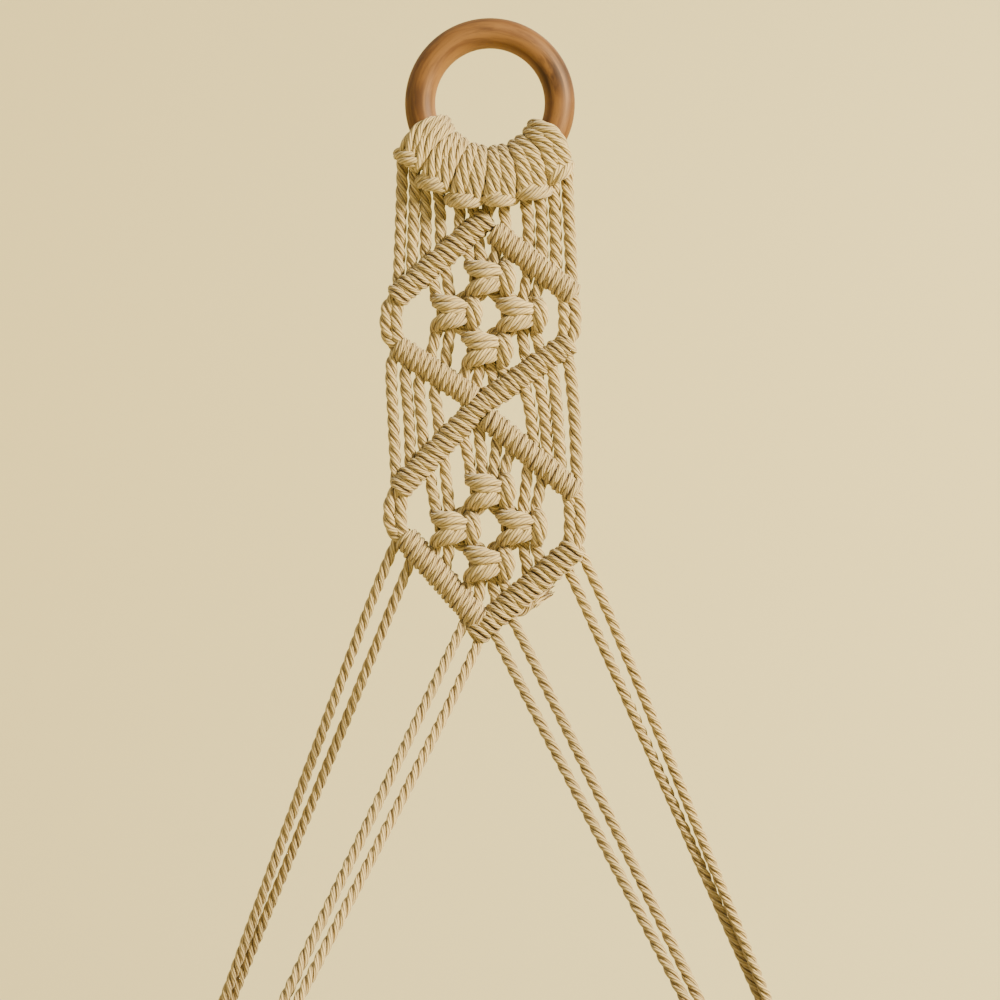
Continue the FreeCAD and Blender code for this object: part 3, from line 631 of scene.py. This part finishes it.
# Control points of the cords in one knot, from its middle: across, to the back, and up.
knotCords = {
    "upper": ((-5.2, 0.4, 5.8), (-5.5, 0.4, 4.6), (-5.0, -2.2, 3.5), (-2.4, -4.5, 2.7), (1.2, -4.6, 1.8),
              (3.6, -3.2, 0.9), (4.8, 0.4, 0.3)),
    "lower": ((-5.2, 0.4, -5.8), (-5.5, 0.3, -4.6), (-4.8, -2.0, -3.5), (-2.4, -4.2, -2.6), (1.2, -4.3, -1.8),
              (3.6, -2.9, -0.9), (4.8, 0.6, -0.3)),
    "edge": ((5.2, 0.4, 5.8), (5.3, 0.2, 4.8), (5.8, -2.6, 3.4), (6.2, -4.3, 0.0), (5.8, -2.6, -3.2),
             (5.3, 0.3, -4.8), (5.2, 0.6, -5.8)),
    "behind": ((5.2, 1.4, 2.6), (4.4, 3.6, 2.2), (0, 4.3, 1.6), (-3.6, 3.0, 1.2), (-4.2, 1.2, 0.1),
               (-3.6, 3.0, -1.0), (0, 4.3, -1.6), (4.4, 3.4, -2.2), (5.2, 1.2, -2.6)),
    "fillerLeft": ((-1.7, 0.6, 5.4), (-1.9, 0.4, 3), (-1.9, 0.4, -3), (-1.7, 0.6, -5.4)),
    "fillerRight": ((1.7, 0.6, 5.4), (1.9, 0.4, 3), (1.9, 0.4, -3), (1.7, 0.6, -5.4)),
}
# How wide, how thin, how thick and how long a lay, from start to end of each cord that is pressed flat.
knotLook = {"upper": ((1.0, 1.1, 1.25, 1.15, 0.75), 0.9, (1.15, 1.45, 1.78, 1.55, 1.05), 27.0),
            "lower": ((1.0, 1.1, 1.2, 1.1, 0.75), 0.9, (1.15, 1.4, 1.64, 1.48, 1.05), 25.0),
            "edge": ((0.9, 1.1, 1.2, 1.1, 0.9), 0.9, (1.1, 1.35, 1.56, 1.35, 1.1), 25.0)}
knotSwell = Vector((1.1, 1.04, 1.06))
knotNodes = [f"{place}_{side}_knot" for place in ("first", "second") for side in ("top", "left", "right", "bottom")]
knots = {node: (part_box(node)[0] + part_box(node)[1]) / 2 / mm for node in knotNodes}


def makeKnot(node):
    store = newStore()
    centre = knots[node]
    for cord, points in knotCords.items():
        wide, thin, scale, lay = knotLook.get(cord, (1.0, 1.0, 1.1, rope["lay"]))
        placed = [centre + Vector(point) * knotSwell + Vector([dice.uniform(-0.22, 0.22) for axis in range(3)])
                  for point in points]
        across = (placed[-1] - placed[0]).cross(Vector((0, 1, 0)))
        flattened = tuple(across.normalized()) if cord in knotLook else None
        addRope(store, placed, across=flattened, wide=wide, thin=thin, scale=scale, lay=lay,
                plies=5 if cord in knotLook else 3)
    words = node.split("_")
    name = words[0] + words[1].capitalize() + "Knot"
    keepPiece(name, ropeMesh(name, store), cottonCord, "panel", stands=(node,))


for node in knotNodes:
    makeKnot(node)
print("square knots")


panel = {"waver": 0.4, "scale": 1.18, "rightScale": 1.26}
leftPlaces = (-30.5, -26.0, -21.4, -16.4)
rightPlaces = (12.8, 17.2, 21.8, 27.0)
centreRuns = (("first_upper_left_row", -10.4, -10.4), ("first_upper_left_row", -5.6, -5.6),
              ("first_upper_left_row", -0.8, -1.6), ("first_upper_right_row", 4.4, 5.4))
leftTops = (-28.8, -24.8, -21.6, -17.0)
rightTops = (11.5, 16.2, 20.9, 25.3)


# A cord from one knot to the next, a little slack, behind both rows at its ends.
def hangCord(store, top, foot, bow=0.0, scale=panel["scale"]):
    top, foot = Vector(top), Vector(foot)
    drop = foot - top
    points = [top]
    for share in (0.3, 0.7):
        waver = Vector((dice.uniform(-1, 1), dice.uniform(-1, 1), 0)) * panel["waver"]
        points.append(top + drop * share + Vector((bow, -0.3, 0)) + waver)
    points.append(foot)
    addRope(store, points, scale=scale)


def upperPiece(name, node, runs, scale):
    store = newStore()
    for row, topX, footX in runs:
        foot = rowAt(row, footX)
        hangCord(store, (topX, 0.6, tailTop(topX) + 3.0), foot + Vector((0, 1.6, -0.5)), 0.3, scale)
    piece = keepPiece(name, ropeMesh(name, store), cottonCord, stands=(node,))
    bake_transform(piece)


upperPiece("upperLeftCords", "upper_left_cords",
           [("first_upper_left_row", top, foot) for top, foot in zip(leftTops, leftPlaces)], panel["scale"])
upperPiece("upperCentreCords", "upper_centre_cords", centreRuns, panel["scale"])
upperPiece("upperRightCords", "upper_right_cords",
           [("first_upper_right_row", top, foot) for top, foot in zip(rightTops, rightPlaces)], panel["rightScale"])


# Cords from under one row, over a small hook, down to the next row.
def middlePiece(name, node, upper, lower, places, leans, hook, scale):
    store = newStore()
    for x in places:
        top = rowAt(upper, x + leans[0])
        foot = rowAt(lower, x + leans[1])
        points = [top + Vector((hook, 1.8, 0.6)), top + Vector((hook * 0.5, 0.8, -3.2)),
                  top + Vector((-hook * 0.12, -0.6, -6.6)),
                  top.lerp(foot, 0.55) + Vector((dice.uniform(-0.3, 0.9), -0.2, 0)), foot + Vector((0, 1.6, -0.4))]
        addRope(store, points, scale=scale)
    keepPiece(name, ropeMesh(name, store), cottonCord, "panel", stands=(node,))


middlePiece("middleLeftCords", "middle_left_cords", "first_lower_left_row", "second_upper_left_row",
            leftPlaces, (-2.0, -0.2), 3.0, panel["scale"])
middlePiece("middleRightCords", "middle_right_cords", "first_lower_right_row", "second_upper_right_row",
            rightPlaces, (-1.0, 1.8), -1.8, panel["rightScale"])

# Where a cord meets its square knot, and how much further out it leaves the row.
innerRuns = {False: ((5.2, 3.6), (1.7, 2.0)), True: ((5.2, 3.0), (1.1, 2.2))}
corners = {"first": {"left": (-33.4, -30.2, 1.0), "right": (27.6, 24.2, 0.6)},
           "second": {"left": (-32.2, -28.6, 1.2), "right": (29.2, 26.0, 0.6)}}


# Short cords between the rows and the square knots, from knot to knot, and round the side corners.
def innerPiece(name, place, node):
    store = newStore()
    top, bottom = knots[f"{place}_top_knot"], knots[f"{place}_bottom_knot"]
    for side, sign in (("left", -1), ("right", 1)):
        upper, lower = f"{place}_upper_{side}_row", f"{place}_lower_{side}_row"
        middle = knots[f"{place}_{side}_knot"]
        for row, knot, way in ((upper, top, 1), (upper, middle, 1), (lower, middle, -1), (lower, bottom, -1)):
            for offset, flare in innerRuns[knot is middle]:
                start = rowAt(row, knot.x + sign * (offset + flare)) + Vector((0, 1.6, 0))
                end = knot + Vector((sign * offset, 0.4, way * 5.4))
                middlePoint = start.lerp(end, 0.5) + Vector((dice.uniform(-0.6, 0.6), -0.9, 0))
                addRope(store, [start, middlePoint, end, end + Vector((0, 0.3, -way * 2.0))], scale=panel["scale"])
        for first, second, way in ((top, middle, -1), (bottom, middle, 1)):
            for out, across in ((sign * 5.2, -sign * 1.7), (sign * 1.7, -sign * 5.2)):
                start = first + Vector((out, 0.4, way * 4.0))
                end = second + Vector((across, 0.4, -way * 4.0))
                addRope(store, [start, start + Vector((0, 0, way * 1.5)), end - Vector((0, 0, way * 1.5)), end],
                        scale=panel["scale"])
        outer, inner, bulge = corners[place][side]
        for x, share in ((outer, 0.09), (inner, 0.16)):
            start = rows[upper][1].lerp(rows[upper][0], share)
            end = rows[lower][0].lerp(rows[lower][1], share)
            points = [start + Vector((0, 1.0, 0)), Vector((x, 0.2, start.z - 3.0)),
                      Vector((x + sign * bulge, -0.4, (start.z + end.z) / 2)), Vector((x, 0.2, end.z + 3.0)),
                      end + Vector((0, 1.0, 0))]
            addRope(store, points, scale=1.32)
    keepPiece(name, ropeMesh(name, store), cottonCord, "panel", stands=(node,))


innerPiece("firstInnerCords", "first", "first_inner_cords")
innerPiece("secondInnerCords", "second", "second_inner_cords")
print("cords of the panel")


# Loose fibres that fan out from a cut end. tip, direction and length are in metres.
def addFray(store, tip, direction, amount, length, fan, thickness):
    direction = Vector(direction).normalized()
    for number in range(amount):
        start = Vector(tip) + Vector([dice.gauss(0, 0.9) for axis in range(3)]) * mm
        aim = (direction + Vector([dice.gauss(0, fan) for axis in range(3)])).normalized()
        reach = length * dice.uniform(0.55, 1.05)
        curl = Vector([dice.gauss(0, 0.14) for axis in range(3)]) * reach
        points = [start - direction * 1.6 * mm, start + aim * reach * 0.35, start + aim * reach * 0.7 + curl * 0.5,
                  start + aim * reach + curl]
        line = splineLine([point / mm for point in points], step=1.3)
        addStrand(store, line, thickness * mm, shade=dice.uniform(0.93, 1.08), reach=thickness * mm, taper=(1.0, 0.35))


tails = (("second_lower_right_row", 0.70, 0.48, 36.0, 6.0), ("second_lower_right_row", 0.92, 0.66, 90.0, 5.9),
         ("second_lower_left_row", 0.80, 0.54, 90.0, 5.9), ("second_lower_left_row", 0.44, 0.20, 90.0, 5.9))


def makeTails():
    cords, ends = newStore(), newStore()
    for node, first, last, swing, stand in tails:
        start, end = rows[node]
        outward = (end - start).cross(Vector((0, 1, 0))).normalized()
        outward = -outward if outward.z > 0 else outward
        turn = math.radians(swing)
        away = outward * math.cos(turn) + Vector((0, math.sin(turn), 0))
        here, there = start.lerp(end, first), start.lerp(end, last)
        points = [here + away * 1.5, here.lerp(there, 0.25) + away * stand * 0.9,
                  here.lerp(there, 0.65) + away * stand, there + away * stand]
        line = addRope(cords, points)
        amount, reach = (60, 5.8) if swing < 80 else (26, 4.0)
        addFray(ends, line[-1], line[-1] - line[-6], amount, reach * mm, 0.17, 0.30)
    keepPiece("trimmedTails", ropeMesh("trimmedTails", cords), cottonCord, "panel", stands=("trimmed_tails",))
    keepPiece("trimmedTailEnds", ropeMesh("trimmedTailEnds", ends), frayedCotton, "panel")


makeTails()
print("cut tails")


pot = {"axis": 1.0, "rim": 106.0, "base": 76.0, "height": 165.0, "rimLevel": 343.0}
net = {
    "cordRadius": 1.75, "hug": 1.9, "pairHalf": 1.95, "tieHeight": 13.0, "tieWidth": 12.0, "upper": 371.0, "lower": 455.0,
    "azimuths": (153.0, 223.0, 317.0, 24.0), "slantGap": 1.4, "seat": 0.2, "wrapLevel": 554.0, "fan": 22.0, "gather": 6.6,
}
tieHalf = net["tieHeight"] / 2
cordStand = net["cordRadius"] + net["hug"]
tieStand = net["tieWidth"] / 2 + net["hug"]
baseLevel = pot["rimLevel"] + pot["height"]


# A point this far out from the pot's wall and this far along it from the azimuth.
def besidePot(azimuth, level, stand, sideways=0.0):
    turn = math.radians(azimuth)
    radius = pot["rim"] - (pot["rim"] - pot["base"]) * (level - pot["rimLevel"]) / pot["height"] + stand
    return Vector((pot["axis"] + math.cos(turn) * radius - math.sin(turn) * sideways,
                   math.sin(turn) * radius + math.cos(turn) * sideways, -level))


lowerAzimuths = []
for index, azimuth in enumerate(net["azimuths"]):
    onward = (net["azimuths"][(index + 1) % 4] - azimuth) % 360.0
    lowerAzimuths.append(azimuth + onward / 2)


def makeSideCords():
    store = newStore()
    for index, azimuth in enumerate(net["azimuths"]):
        for lower, side in ((lowerAzimuths[index], 1), (lowerAzimuths[index - 1], -1)):
            span = (lower - azimuth + 180.0) % 360.0 - 180.0
            first = net["upper"] + tieHalf + net["slantGap"]
            last = net["lower"] - tieHalf - net["slantGap"]
            offset = side * net["pairHalf"]
            points = [besidePot(azimuth, level, tieStand, offset) for level in (first - 3.0, first)]
            for share in (0.14, 0.38, 0.62, 0.86):
                points.append(besidePot(azimuth + span * share, first + (last - first) * share, cordStand + 0.5))
            points += [besidePot(lower, level, tieStand, -offset) for level in (last, last + 3.0)]
            addRope(store, points, step=0.8)
    keepPiece("netSideCords", ropeMesh("netSideCords", store), cottonCord, "net", stands=("net_side_cords",))


def makeBaseCords():
    store = newStore()
    for azimuth in lowerAzimuths:
        for side in (-1, 1):
            turn = math.radians(azimuth + side * net["fan"])
            away = Vector((math.cos(turn), math.sin(turn), 0))
            gathered = Vector((pot["axis"], 0, -net["wrapLevel"])) + away * net["gather"]
            offset = side * net["pairHalf"]
            first = net["lower"] + tieHalf
            points = [besidePot(azimuth, first - 3.0, tieStand, offset), besidePot(azimuth, first, tieStand, offset),
                      besidePot(azimuth, baseLevel - 14.0, cordStand + 1.6, offset),
                      besidePot(azimuth, baseLevel + 8.0, cordStand - 9.0, side * (net["pairHalf"] + 0.6)),
                      gathered + Vector((0, 0, 2.0)), gathered - away * 1.6 - Vector((0, 0, 4.0))]
            addRope(store, points, step=0.8)
    keepPiece("netBaseCords", ropeMesh("netBaseCords", store), cottonCord, "net", stands=("net_base_cords",))


# An overhand knot of two cords: across, outward and up, from its middle.
tieCords = (
    ((-1.9, 0, 7.6), (-1.9, 0, 5.0), (0.8, 2.6, 3.8), (4.4, 2.4, 1.2), (4.2, -2.6, -1.4), (-0.6, -4.2, -2.4),
     (-4.8, -1.6, -1.4), (-4.0, 3.4, 0.4), (0.6, 4.8, 2.0), (4.2, 1.6, 3.4), (1.6, -3.6, 2.6), (-2.6, -2.6, 0.2),
     (-1.9, 0, -4.4), (-1.9, 0, -6.2)),
    ((1.9, 0, 7.6), (1.9, 0, 5.0), (-0.6, -2.8, 4.0), (-4.6, -2.2, 2.6), (-4.4, 2.8, -1.8), (0.6, 4.6, -3.2),
     (4.8, 1.4, -3.4), (3.8, -3.6, 0.4), (-0.6, -4.8, 1.0), (-3.6, -0.6, 3.2), (-0.8, 2.2, 0.6), (2.4, 1.2, -2.6),
     (1.9, 0, -5.0), (1.9, 0, -6.2)),
)


def makeTie(name, node, azimuth):
    store = newStore()
    low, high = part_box(node)
    centre = (low + high) / 2 / mm
    turn = math.radians(azimuth)
    out = Vector((math.cos(turn), math.sin(turn), 0))
    across = Vector((-math.sin(turn), math.cos(turn), 0))
    for cord in tieCords:
        points = [centre + across * x + out * y + Vector((0, 0, z)) for x, y, z in cord]
        addRope(store, points, thin=0.95, step=0.65)
    keepPiece(name, ropeMesh(name, store), cottonCord, "net", stands=(node,))


def makeWrap():
    store = newStore()
    low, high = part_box("gathering_wrap")
    centre = (low + high) / 2 / mm
    height = (high.z - low.z) / mm
    radius = (high.x - low.x) / 2 / mm - 1.7
    turns = 9
    points = []
    for step in range(turns * 8 + 1):
        turn = 2 * math.pi * step / 8
        level = centre.z - height / 2 + 1.7 + (height - 3.4) * step / (turns * 8)
        reach = radius / 0.94
        points.append(Vector((centre.x + math.cos(turn) * reach, centre.y + math.sin(turn) * reach, level)))
    addRope(store, points, thin=0.95, across=(0, 0, 1), wide=1.04, step=0.8)
    for index in range(6):
        turn = math.radians(60 * index + 10)
        side = Vector((math.cos(turn), math.sin(turn), 0)) * 3.7
        addRope(store, [centre + side + Vector((0, 0, height / 2 + 2)), centre + side,
                        centre + side - Vector((0, 0, height / 2 + 1))], step=1.2, scale=1.2)
    keepPiece("gatheringWrap", ropeMesh("gatheringWrap", store), cottonCord, "net", stands=("gathering_wrap",))


def makeTassel():
    cords, ends = newStore(), newStore()
    low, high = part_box("tassel")
    top = high.z / mm
    length = (high.z - low.z) / mm
    middle = Vector(((low.x + high.x) / 2 / mm, (low.y + high.y) / 2 / mm, 0))
    places = [(0.0, 0.0)] + [(0.42, 72 * k + 20) for k in range(5)] + [(0.92, 360 / 11 * k) for k in range(11)]
    for share, degrees in places:
        turn = math.radians(degrees + dice.uniform(-7, 7))
        out = Vector((math.cos(turn), math.sin(turn), 0))
        side = Vector((-math.sin(turn), math.cos(turn), 0))
        reach = length - 14.0 + dice.uniform(-2.5, 2.5)
        points = []
        for part, wide in ((0, 4.2), (0.06, 5.3), (0.2, 5.9), (0.45, 7.6), (0.75, 9.3), (1.0, 10.2)):
            sway = side * dice.uniform(-0.7, 0.7) * part
            points.append(middle + out * share * wide + sway + Vector((0, 0, top - 0.5 - reach * part)))
        line = addRope(cords, points, step=0.9)
        addFray(ends, line[-1], (out.x * 0.12 * share, out.y * 0.12 * share, -1), 15, 10.5 * mm, 0.07, 0.42)
    keepPiece("tasselCords", ropeMesh("tasselCords", cords), cottonCord, "tassel", stands=("tassel",))
    keepPiece("tasselEnds", ropeMesh("tasselEnds", ends), frayedCotton, "tassel")


makeSideCords()
makeBaseCords()
for number, azimuth in enumerate(net["azimuths"], start=1):
    makeTie(f"upperTie{number}", f"upper_tie_{number}", azimuth)
for number, azimuth in enumerate(lowerAzimuths, start=1):
    makeTie(f"lowerTie{number}", f"lower_tie_{number}", azimuth)
makeWrap()
makeTassel()
print("net, wrap and tassel")


# One pale bowl: a flat floor that curves up into a round wall.
def makeStudio():
    shape = bmesh.new()
    radius, bend, level, wall = (studio[key] * mm for key in ("radius", "bend", "floor", "wall"))
    profile = [Vector((0.02, 0, level)), Vector((radius - bend, 0, level))]
    for step in range(1, 9):
        turn = math.radians(90 * step / 8)
        profile.append(Vector((radius - bend + math.sin(turn) * bend, 0, level + bend * (1 - math.cos(turn)))))
    profile.append(Vector((radius, 0, wall)))
    points = [shape.verts.new(point) for point in profile]
    edges = [shape.edges.new(pair) for pair in zip(points, points[1:])]
    bmesh.ops.spin(shape, geom=points + edges, cent=(0, 0, 0), axis=(0, 0, 1), angle=math.radians(360), steps=64,
                   use_merge=True)
    middle = [edge for edge in shape.edges if edge.is_boundary and edge.calc_length() < 0.01]
    bmesh.ops.holes_fill(shape, edges=middle, sides=0)
    bmesh.ops.recalc_face_normals(shape, faces=shape.faces)
    mesh = bpy.data.meshes.new("studioFloor")
    shape.to_mesh(mesh)
    shape.free()
    mesh.shade_smooth()
    material, tree, shader = newMaterial("palePaper", 0.95, 0.1)
    shader.inputs["Base Color"].default_value = (0.90, 0.80, 0.46, 1)
    mesh.materials.append(material)
    floor = bpy.data.objects.new("studioFloor", mesh)
    bpy.context.scene.collection.objects.link(floor)


makeStudio()
